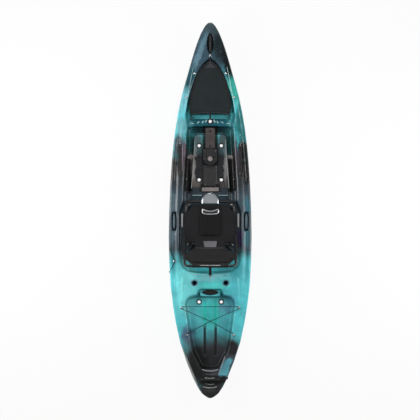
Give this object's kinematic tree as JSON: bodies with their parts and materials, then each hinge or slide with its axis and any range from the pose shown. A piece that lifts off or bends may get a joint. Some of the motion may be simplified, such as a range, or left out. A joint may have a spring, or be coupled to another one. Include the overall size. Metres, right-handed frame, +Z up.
{
  "type": "fishing kayak",
  "caption": "Sit-on-top fishing kayak: hollow moulded hull with bow well and cover, cockpit, framed folding seat, foot braces, gear tracks, rod holders and a rear tank well.",
  "frame": {"origin": "on the ground under the keel's flat, at the middle of the hull's length and beam", "axes": "+Y to the bow, +Z up, +X to the boat's right side"},
  "size_m": [0.81, 3.66, 0.6915],
  "materials": {
    "polyethylene": "rotomoulded polyethylene in marbled aqua, slate blue and black, satin gloss",
    "foam": "closed-cell foam",
    "black_rubber": "moulded rubber",
    "black_nylon": "moulded nylon, fine grain",
    "grey_plastic": "moulded plastic, satin",
    "mesh_cloth": "coated mesh cloth",
    "webbing": "woven polypropylene",
    "bungee": "braided sleeve over rubber",
    "stainless": "stainless steel",
    "aluminium": "dark anodised aluminium",
    "coated_tube": "black powder coat"
  },
  "bodies": {
    "hull": {"hull": "polyethylene", "bow_foam": "foam", "stern_foam": "foam", "drain_bushing": "black_rubber", "port_seal": "black_rubber", "bow_handle": "black_nylon", "side_handle_left": "black_nylon", "side_handle_right": "black_nylon", "stern_handle": "black_nylon", "mount_base": "black_nylon", "seat_foot_front_left": "black_nylon", "seat_foot_front_right": "black_nylon", "seat_foot_rear_left": "black_nylon", "seat_foot_rear_right": "black_nylon", "hinge_bracket_left": "black_nylon", "hinge_bracket_right": "black_nylon", "console_plate": "grey_plastic", "channel_strip": "grey_plastic", "floor_step": "grey_plastic", "seat_base_sling": "mesh_cloth", "seat_strap": "webbing", "tank_bungee": "bungee", "paddle_bungee": "bungee", "cover_stud_tip": "stainless", "cover_stud_front_left": "stainless", "cover_stud_front_right": "stainless", "cover_stud_rear_left": "stainless", "cover_stud_rear_right": "stainless", "seat_buckle": "stainless", "seat_rail_left": "stainless", "seat_rail_right": "stainless", "strap_eye": "stainless", "tank_stud_front_left": "stainless", "tank_stud_front_right": "stainless", "tank_stud_rear_left": "stainless", "tank_stud_rear_right": "stainless", "paddle_hook": "stainless", "foot_rail_left": "aluminium", "foot_rail_right": "aluminium", "gear_track_left": "aluminium", "gear_track_right": "aluminium", "seat_base_frame": "coated_tube"},
    "foot_pedal_left": {"foot_pedal_left": "black_nylon"},
    "foot_pedal_right": {"foot_pedal_right": "black_nylon"},
    "foot_trigger_left": {"foot_trigger_left": "aluminium"},
    "foot_trigger_right": {"foot_trigger_right": "aluminium"},
    "seat_back": {"seat_back_frame": "coated_tube", "seat_back_sling": "mesh_cloth"},
    "seat_bail": {"seat_bail": "stainless", "seat_tongue": "black_nylon"},
    "bow_cover": {"bow_cover": "mesh_cloth", "cover_pull_tab": "mesh_cloth", "cover_cord_left": "bungee", "cover_cord_right": "bungee"},
    "port_cover": {"port_cover": "black_nylon"},
    "mount_knob": {"mount_knob": "grey_plastic"},
    "drain_plug": {"drain_plug": "black_nylon"}
  },
  "joints": [
    {"name": "foot_pedal_left_slide", "type": "slide", "parent": "hull", "child": "foot_pedal_left", "axis": [0.0642, 0.9979, 0], "range_m": [-0.18, 0.035]},
    {"name": "foot_trigger_left_press", "type": "hinge", "parent": "foot_pedal_left", "child": "foot_trigger_left", "pos_m": [-0.19, 0.5293, 0.212], "axis": [1, 0, 0], "range_deg": [0, 14], "stiffness_Nm_per_rad": 0.3},
    {"name": "foot_pedal_right_slide", "type": "slide", "parent": "hull", "child": "foot_pedal_right", "axis": [-0.0642, 0.9979, 0], "range_m": [-0.18, 0.035]},
    {"name": "foot_trigger_right_press", "type": "hinge", "parent": "foot_pedal_right", "child": "foot_trigger_right", "pos_m": [0.19, 0.5293, 0.212], "axis": [1, 0, 0], "range_deg": [0, 14], "stiffness_Nm_per_rad": 0.3},
    {"name": "seat_back_fold", "type": "hinge", "parent": "hull", "child": "seat_back", "pos_m": [0, -0.335, 0.303], "axis": [1, 0, 0], "range_deg": [-110, 0]},
    {"name": "seat_bail_lift", "type": "hinge", "parent": "hull", "child": "seat_bail", "pos_m": [0, 0.085, 0.262], "axis": [1, 0, 0], "range_deg": [0, 75]},
    {"name": "bow_cover_lift", "type": "slide", "parent": "hull", "child": "bow_cover", "axis": [0, 0, 1], "range_m": [0, 0.15]},
    {"name": "port_cover_lift", "type": "slide", "parent": "hull", "child": "port_cover", "axis": [0, 0, 1], "range_m": [0, 0.06]},
    {"name": "mount_knob_turn", "type": "hinge", "parent": "hull", "child": "mount_knob", "pos_m": [0, 0.502, 0.21], "axis": [0, 0, 1], "continuous": true},
    {"name": "drain_plug_turn", "type": "hinge", "parent": "hull", "child": "drain_plug", "pos_m": [0.16159, -1.63236, 0.27882], "axis": [0.8704, -0.4099, -0.2728], "continuous": true}
  ]
}
